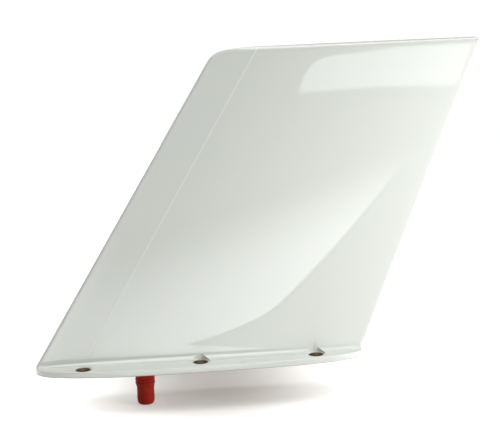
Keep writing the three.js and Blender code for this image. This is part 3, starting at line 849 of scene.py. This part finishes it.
def cutThread(piece):
    # the barrel's skin is drawn in along a helix, fading out at both ends
    low, high = jack["end"] + 0.45 * mm, jack["threadTop"] + 0.05 * mm
    for vert in piece.data.vertices:
        reach = math.hypot(vert.co.x, vert.co.y)
        if reach > jack["barrel"] - 0.1 * mm and low < vert.co.z < high:
            turn = (vert.co.z / jack["threadPitch"] - math.atan2(vert.co.y, vert.co.x) / (2 * math.pi)) % 1.0
            fade = min(1, (vert.co.z - low) / (0.5 * mm), (high - vert.co.z) / (0.7 * mm))
            cut = jack["threadDepth"] * abs(2 * turn - 1) * max(fade, 0)
            vert.co.x *= (reach - cut) / reach
            vert.co.y *= (reach - cut) / reach


def makeJack():
    half = jack["plateHalf"]
    plate = boxPiece("jackBody", (-half, -half, jack["plateLow"]), (half, half, jack["plateHigh"]))
    openEdit(plate, "EDGE")
    closeEdit()
    verts = plate.data.vertices
    for edge in plate.data.edges:
        a, b = (verts[i].co for i in edge.vertices)
        edge.select = abs(a.z - b.z) > 0.1 * mm
    bpy.ops.object.mode_set(mode="EDIT")
    bpy.ops.mesh.bevel(offset=jack["plateCorner"], segments=5, affect="EDGES")
    closeEdit()
    cutWith(plate, postCutter(jack["throat"] + 0.2 * mm, -0.01, 0.02, 0, 0))
    barrel = turnedPiece("barrel", jackProfile(), 72)
    cutThread(barrel)
    cutWith(plate, barrel, "UNION")
    for x, y in jackScrewPlaces:
        cutWith(plate, turnedPiece("screwHole", jackScrewSeat(0.12 * mm), 32, (x, y), closed=False))
    cleanMesh(plate)
    plate.location = (jack["x"], 0, 0)
    setPlaceInMesh(plate)
    smoothShade(plate, 28)
    dress(plate, metals["nickelPlate"])
    return handOver(plate, "antenna", "connector_nickel", "connector_body")


jackScrew = {"shaft": 1.2 * mm, "head": 2.3 * mm, "low": jack["plateLow"] + 0.05 * mm, "top": 3.5 * mm,
             "turns": 5, "threadDepth": 0.18 * mm, "slotLength": 1.25 * mm, "slotHalf": 0.26 * mm,
             "slotDepth": 0.75 * mm, "turnStep": 37}
jackScrew["headTop"] = jackScrew["low"] + jackScrew["head"] - jackScrew["shaft"]
jackScrewPlaces = [(a * jack["screwHalfPitch"], b * jack["screwHalfPitch"]) for a in (-1, 1) for b in (-1, 1)]


def jackScrewSeat(grow):
    low, head, shaft = jackScrew["low"] - grow, jackScrew["head"] + grow, jackScrew["shaft"] + grow
    top = jackScrew["top"] + grow
    return [(0, low), (head, low), (shaft, jackScrew["headTop"]), (shaft, top), (0, top)]


def makeJackScrews():
    low, headTop, top = jackScrew["low"], jackScrew["headTop"], jackScrew["top"]
    head, shaft = jackScrew["head"], jackScrew["shaft"]
    profile = [(0, low), (head - 0.15 * mm, low), (head, low + 0.12 * mm), (shaft, headTop)]
    step = (top - 0.35 * mm - headTop) / jackScrew["turns"]
    for i in range(jackScrew["turns"]):
        profile += [(shaft, headTop + step * (i + 0.3)),
                    (shaft - jackScrew["threadDepth"], headTop + step * (i + 0.7))]
    profile += [(shaft, top - 0.3 * mm), (shaft - 0.3 * mm, top), (0, top)]
    first = turnedPiece("jackScrew", profile, 36, closed=False)
    long, short, deep = jackScrew["slotLength"], jackScrew["slotHalf"], low + jackScrew["slotDepth"]
    for length, width in ((long, short), (short, long)):
        cutWith(first, boxPiece("recess", (-length, -width, -0.001), (length, width, deep)))
    cleanMesh(first)
    smoothShade(first, 28)
    dress(first, metals["screwSteel"])
    for number, (x, y) in enumerate(jackScrewPlaces, 1):
        piece = copyOf(first, f"jackScrew{number}")
        piece.rotation_euler = (0, 0, math.radians(jackScrew["turnStep"] * number))
        setPlaceInMesh(piece)
        piece.location = (jack["x"] + x, y, 0)
        setPlaceInMesh(piece)
        handOver(piece, "antenna", "screw_steel", f"connector_screw_{number}")
    bpy.data.objects.remove(first)


makeJack()
makeJackScrews()


def makeGasket():
    middle = (gasket["inner"] + gasket["outer"]) / 2
    half = (gasket["outer"] - gasket["inner"]) / 2 - 0.15 * mm
    top = gasket["depth"] - 0.1 * mm
    # a squeezed cord: flat where it meets skin and groove, round at the sides
    profile = []
    for i in range(20):
        angle = 2 * math.pi * i / 20
        flatness = min(1, 1.25 * abs(math.sin(angle)) ** 0.2)
        profile.append((middle + half * math.cos(angle), top / 2 + top / 2 * math.sin(angle) * flatness))
    piece = turnedPiece("baseGasket", profile, 120, (jack["x"], 0))
    smoothShade(piece, 60)
    dress(piece, sealRubber)
    return handOver(piece, "antenna", "seal_rubber", "base_gasket")


makeGasket()
print("bushes, jack and gasket made")

# ---- push-on cap

cap = {"lip": -3.6 * mm, "end": -25.8 * mm, "bulge": 6.5 * mm, "body": 5.8 * mm, "inner": 5.7 * mm,
       "endRadius": 2.6 * mm, "wall": 0.8 * mm, "floor": 2.4 * mm, "ringHeights": (-11 * mm, -8.8 * mm),
       "ringDepth": 0.5 * mm, "ribs": 18, "ribDepth": 0.12 * mm, "ribsFrom": -12 * mm, "ribsFade": 3 * mm,
       "squeeze": 0.10 * mm, "shrink": 0.08 * mm}


def capProfile():
    bulge, body, end, lip = cap["bulge"], cap["body"], cap["end"], cap["lip"]
    rings = []
    for centre in cap["ringHeights"]:
        for drop, away in ((cap["ringDepth"], -0.85), (0.08 * mm, -0.5), (0, 0), (0.08 * mm, 0.5),
                           (cap["ringDepth"], 0.85)):
            rings.append((bulge - drop, centre + away * mm))
    endTop = end + cap["endRadius"]
    endArc = arcPoints((body - cap["endRadius"], endTop), cap["endRadius"], -90, 0, 10)
    bodyRows = [(body + 0.06 * mm * math.sin(i * 1.1), endTop + (i + 1) * 0.85 * mm) for i in range(9)]
    return [
        (0, end + cap["floor"]), (body - cap["wall"], end + cap["floor"]), (body - cap["wall"], -15.4 * mm),
        (cap["inner"], -14.5 * mm), (cap["inner"], lip - 0.3 * mm), (cap["inner"] + 0.2 * mm, lip),
        (bulge - 0.5 * mm, lip), (bulge - 0.15 * mm, lip - 0.3 * mm), (bulge, lip - 1.2 * mm),
        (bulge, -6.4 * mm), (bulge - 0.1 * mm, -7.2 * mm), *reversed(rings),
        (body + 0.35 * mm, -12.5 * mm), (body + 0.12 * mm, -13.3 * mm),
        *reversed(bodyRows), *reversed(endArc), (0, end),
    ]


def makeCap():
    piece = turnedPiece("vinylCap", capProfile(), 108, closed=False)
    # shallow ribs down the body and a slight squeeze of the soft wall, kept off the bore that the jack is in
    for vert in piece.data.vertices:
        reach = math.hypot(vert.co.x, vert.co.y)
        angle = math.atan2(vert.co.y, vert.co.x)
        down = max(0, min(1, (cap["ribsFrom"] - vert.co.z) / cap["ribsFade"]))
        outside = reach > cap["inner"] + 0.03 * mm or vert.co.z < -16 * mm
        if outside and reach > cap["body"] - 0.6 * mm:
            rib = cap["ribDepth"] * (0.5 + 0.5 * math.cos(cap["ribs"] * angle))
            squeeze = cap["squeeze"] * math.sin(2 * angle + 700 * vert.co.z)
            scale = (reach - down * (rib + squeeze + cap["shrink"])) / reach
            vert.co.x *= scale
            vert.co.y *= scale
    piece.location = (jack["x"], 0, 0)
    setPlaceInMesh(piece)
    smoothShade(piece, 50)
    dress(piece, capVinyl)
    return handOver(piece, "cap", "cap_vinyl", "connector_cap")


makeCap()
print("cap made")

# ---- finishes for the pieces that keep their own solids

carriedLooks = {
    "foam_core_left": coreFoam, "foam_core_right": coreFoam, "radiator_board": glassLaminate,
    "radiator_element": metals["copperSheet"], "coupled_element": metals["copperSheet"],
    "feed_strap": metals["copperSheet"], "ground_strap": metals["copperSheet"],
    "match_core": grainy["ferriteGrey"], "match_winding": metals["copperSheet"],
    "match_capacitor_1": grainy["chipCeramic"], "match_capacitor_2": grainy["chipCeramic"],
    "board_pin_1": metals["pinSteel"], "board_pin_2": metals["pinSteel"], "board_pin_3": metals["pinSteel"],
    "connector_insulator": grainy["fluoroWhite"], "connector_contact": metals["contactGold"],
    "connector_seal": sealRubber,
}
for node, material in carriedLooks.items():
    dress(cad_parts[node], material)

# ---- floor, lights and camera

room = {"front": 0.12, "back": 0.55, "turnOver": (-0.35, 0.3), "seen": 1.03, "tone": (1.0, 0.965, 0.93)}
floorLook = {
    "level": cap["end"] - 0.05 * mm, "radius": 1.3,
    "tone": (0.90, 0.895, 0.885), "toneCloud": (0.91, 0.905, 0.9),
    # as the paint mirrors it and as it lights the blade: a painted glow that rises away from the antenna, and
    # painted shade on the floor in front
    "centre": (0.03, 0.02, 0), "stretch": (0.6, 1.0, 1.0), "glowReach": (0.08, 0.24), "glowNear": 0.16,
    "glowFar": 1.1, "glowFront": (-0.4, -0.05), "frontShadeTone": (0.36, 0.355, 0.35), "frontRange": (-0.08, 0.08),
    # as the lens sees it: a painted shadow, a soft hollow of shade behind the blade, with painted glow
    # burning it out to white round it
    "seenCentre": (0.012, 0.13, 0), "seenStretch": (1.0, 0.45, 1.0), "seenGlowReach": (0.03, 0.16),
    "seenGlow": 1.1, "shadeReach": (0.0, 0.12), "shadeTone": (0.50, 0.465, 0.445),
}


def makeRoom():
    world = bpy.data.worlds.new("paleRoom")
    bpy.context.scene.world = world
    world.use_nodes = True
    nodes = world.node_tree.nodes
    way = Wire(nodes.new("ShaderNodeTexCoord").outputs["Generated"])
    seen = Wire(nodes.new("ShaderNodeLightPath").outputs["Is Camera Ray"])
    behind = way.axis("Y").between(*room["turnOver"])
    lit = behind * (room["back"] - room["front"]) + room["front"]
    strength = lit.calc("MAXIMUM", lit, seen * room["seen"])
    background = nodes["Background"]
    tone = seen.mixColour(rgba(*room["tone"]), rgba(1, 1, 1))
    world.node_tree.links.new(strength.socket, background.inputs["Strength"])
    world.node_tree.links.new(tone.socket, background.inputs["Color"])


def makeStage():
    look = floorLook
    pickNothing()
    bpy.ops.mesh.primitive_circle_add(vertices=96, radius=look["radius"], fill_type="NGON",
                                      location=(0, 0, look["level"]))
    floor = bpy.context.object
    floor.name = "studioFloor"
    setPlaceInMesh(floor)
    material, shader, place = startMaterial("paleFloor", Roughness=0.75, Specular_IOR_Level=0.0,
                                            Emission_Color=rgba(1, 1, 1))
    seen = Wire(material.node_tree.nodes.new("ShaderNodeLightPath").outputs["Is Camera Ray"])
    tone = place.noise(3.0, 2.0).mixColour(rgba(*look["tone"]), rgba(*look["toneCloud"]))
    # painted shadow for camera rays: the floor colour darkens in a soft hollow behind the blade
    seenReach = place.reach(look["seenCentre"], look["seenStretch"])
    shade = (1 - seenReach.between(*look["shadeReach"])) * seen
    tone = shade.mixColour(tone, rgba(*look["shadeTone"]))
    # painted shade for the rays that light and mirror the blade: the floor darkens in front of the antenna
    frontShade = (1 - place.axis("Y").between(*look["frontRange"])) * (1 - seen)
    plug(shader, "Base Color", frontShade.mixColour(tone, rgba(*look["frontShadeTone"])))
    # painted light: the floor glows, more away from the antenna and only in front of it
    rise = place.reach(look["centre"], look["stretch"]).between(*look["glowReach"])
    rise = rise * (look["glowFar"] - look["glowNear"]) * place.axis("Y").between(*look["glowFront"])
    # painted glow for camera rays: the floor is lifted to white round the painted shadow
    lifted = seenReach.between(*look["seenGlowReach"]) * look["seenGlow"]
    plug(shader, "Emission Strength", (rise + look["glowNear"]) * (1 - seen) + lifted * seen)
    dress(floor, material)


cards = {
    "low": {"edgeFrom": (0.033, -0.165), "edgeTo": (0.52, -1.287), "wide": 1.3, "round": 0.15,
            "level": floorLook["level"] + 0.4 * mm, "glow": 4.8, "fade": 0.55, "farFade": (0.5, 1.25)},
    "high": {"centre": (0.455, -1.5, 0.088), "size": (0.52, 0.068), "tilt": 11.5, "glow": 3.4,
             "roundWide": 0.095, "roundHigh": 0.042},
}
flag = {"x": -0.26, "front": -0.8, "back": -0.22, "top": 0.4,
        "tone": (0.01, 0.01, 0.01), "nap": (0.03, 0.03, 0.03)}


def makeFlag():
    # black flag that keeps light off the leading edge
    pickNothing()
    bpy.ops.mesh.primitive_plane_add(size=1)
    piece = bpy.context.object
    piece.name = "blackFlag"
    piece.scale = (flag["top"] - floorLook["level"], flag["back"] - flag["front"], 1)
    piece.rotation_euler = (0, math.pi / 2, 0)
    piece.location = (flag["x"], (flag["front"] + flag["back"]) / 2, (flag["top"] + floorLook["level"]) / 2)
    setPlaceInMesh(piece)
    material, shader, place = startMaterial("flagCloth", Roughness=0.9)
    plug(shader, "Base Color", place.noise(60.0).mixColour(rgba(*flag["tone"]), rgba(*flag["nap"])))
    dress(piece, material)
    piece.visible_camera = False
    piece.visible_shadow = False


def makeCardMaterial(name, look, edgePoint=None, edgeNormal=None):
    material = bpy.data.materials.new(name)
    material.use_nodes = True
    tree = material.node_tree
    tree.nodes.clear()
    emission = tree.nodes.new("ShaderNodeEmission")
    output = tree.nodes.new("ShaderNodeOutputMaterial")
    tree.links.new(emission.outputs[0], output.inputs["Surface"])
    emission.inputs["Strength"].default_value = look["glow"]
    if edgePoint:
        # brightest along the edge, and dying away behind it and with distance
        place = Wire(tree.nodes.new("ShaderNodeTexCoord").outputs["Object"])
        depth = place.vector("SUBTRACT", edgePoint).vector("DOT_PRODUCT", edgeNormal, 1)
        left = 1 - depth / look["fade"]
        inner = left.calc("MAXIMUM", left, 0.0) ** 1.6
        near, far = look["farFade"]
        strength = inner * place.axis("Y").between(-far, -near) * look["glow"]
        tree.links.new(strength.socket, emission.inputs["Strength"])
    return material


def hideFromAllButGloss(card):
    card.visible_camera = False
    card.visible_diffuse = False
    card.visible_shadow = False
    card.visible_transmission = False


def makeLowCard():
    look = cards["low"]
    start, end = Vector((*look["edgeFrom"], look["level"])), Vector((*look["edgeTo"], look["level"]))
    middle = (start + end) / 2
    inward = Vector((end.y - start.y, start.x - end.x, 0)).normalized()
    pickNothing()
    bpy.ops.mesh.primitive_plane_add(size=1, location=middle)
    card = bpy.context.object
    card.name = "lowCard"
    card.scale = (look["wide"], start.y - end.y, 1)
    setPlaceInMesh(card)
    # the right-hand side is slanted to the edge line, and its near corner rounded
    for vert in card.data.vertices:
        if vert.co.x > middle.x:
            vert.co.x = start.x if vert.co.y > middle.y else end.x
    leftSide = middle.x - look["wide"] / 4
    pickVerts(card, lambda co: co.x > leftSide and co.y > middle.y)
    bpy.ops.mesh.bevel(offset=look["round"], segments=16, affect="VERTICES")
    closeEdit()
    dress(card, makeCardMaterial("lowCardGlow", look, start, inward))
    hideFromAllButGloss(card)


def makeHighCard():
    look = cards["high"]
    pickNothing()
    bpy.ops.mesh.primitive_plane_add(size=1)
    card = bpy.context.object
    card.name = "highCard"
    # the corner is rounded while the card is squashed, so that it comes out as part of an ellipse
    squash = look["roundHigh"] / look["roundWide"]
    card.scale = (look["size"][0] * squash, look["size"][1], 1)
    setPlaceInMesh(card)
    pickVerts(card, lambda co: co.x < 0 and co.y > 0)
    bpy.ops.mesh.bevel(offset=look["roundHigh"], segments=12, affect="VERTICES")
    closeEdit()
    card.scale = (1 / squash, 1, 1)
    card.rotation_euler = (math.pi / 2, math.radians(look["tilt"]), 0)
    card.location = look["centre"]
    setPlaceInMesh(card)
    dress(card, makeCardMaterial("highCardGlow", look))
    hideFromAllButGloss(card)


lights = {
    "key": {"place": (0.46, -0.27, 0.10), "aim": (0.08, 0, 0.08), "size": (0.26, 0.22), "power": 1.6},
    "top": {"place": (-0.12, -0.33, 0.8), "aim": (0.02, 0, 0), "size": (0.5, 0.4), "power": 0.7},
    "over": {"place": (0.2, -0.19, 2.0), "aim": (0.02, 0, 0), "size": (2.3, 0.8), "power": 20.0},
}


def aimAt(thing, target):
    way = Vector(target) - thing.location
    thing.rotation_euler = way.to_track_quat("-Z", "Y").to_euler()


def makeLights():
    for name, look in lights.items():
        lamp = bpy.data.lights.new(name, "AREA")
        lamp.shape = "RECTANGLE"
        lamp.size, lamp.size_y = look["size"]
        lamp.energy = look["power"]
        thing = bpy.data.objects.new(name, lamp)
        thing.location = look["place"]
        aimAt(thing, look["aim"])
        bpy.context.scene.collection.objects.link(thing)


view = {"place": (-78.5 * mm, -996.9 * mm, 277.3 * mm), "turn": -6.632, "down": 10.298, "roll": 2.05,
        "lens": 112.46}


def makeCamera():
    turn, down, roll = (math.radians(view[k]) for k in ("turn", "down", "roll"))
    ahead = Vector((-math.sin(turn) * math.cos(down), math.cos(turn) * math.cos(down), -math.sin(down)))
    right = ahead.cross(Vector((0, 0, 1))).normalized()
    up = right.cross(ahead)
    rolledRight = math.cos(roll) * right - math.sin(roll) * up
    rolledUp = math.sin(roll) * right + math.cos(roll) * up
    lens = bpy.data.cameras.new("camera")
    lens.lens = view["lens"]
    lens.sensor_width = 36
    lens.clip_start = 0.01
    camera = bpy.data.objects.new("camera", lens)
    rotation = Matrix((rolledRight, rolledUp, -ahead)).transposed().to_4x4()
    camera.matrix_world = Matrix.Translation(view["place"]) @ rotation
    bpy.context.scene.collection.objects.link(camera)
    bpy.context.scene.camera = camera


makeRoom()
makeStage()
makeLowCard()
makeHighCard()
makeFlag()
makeLights()
makeCamera()
bpy.context.scene.view_settings.view_transform = "Standard"
print("stage, lights and camera set")
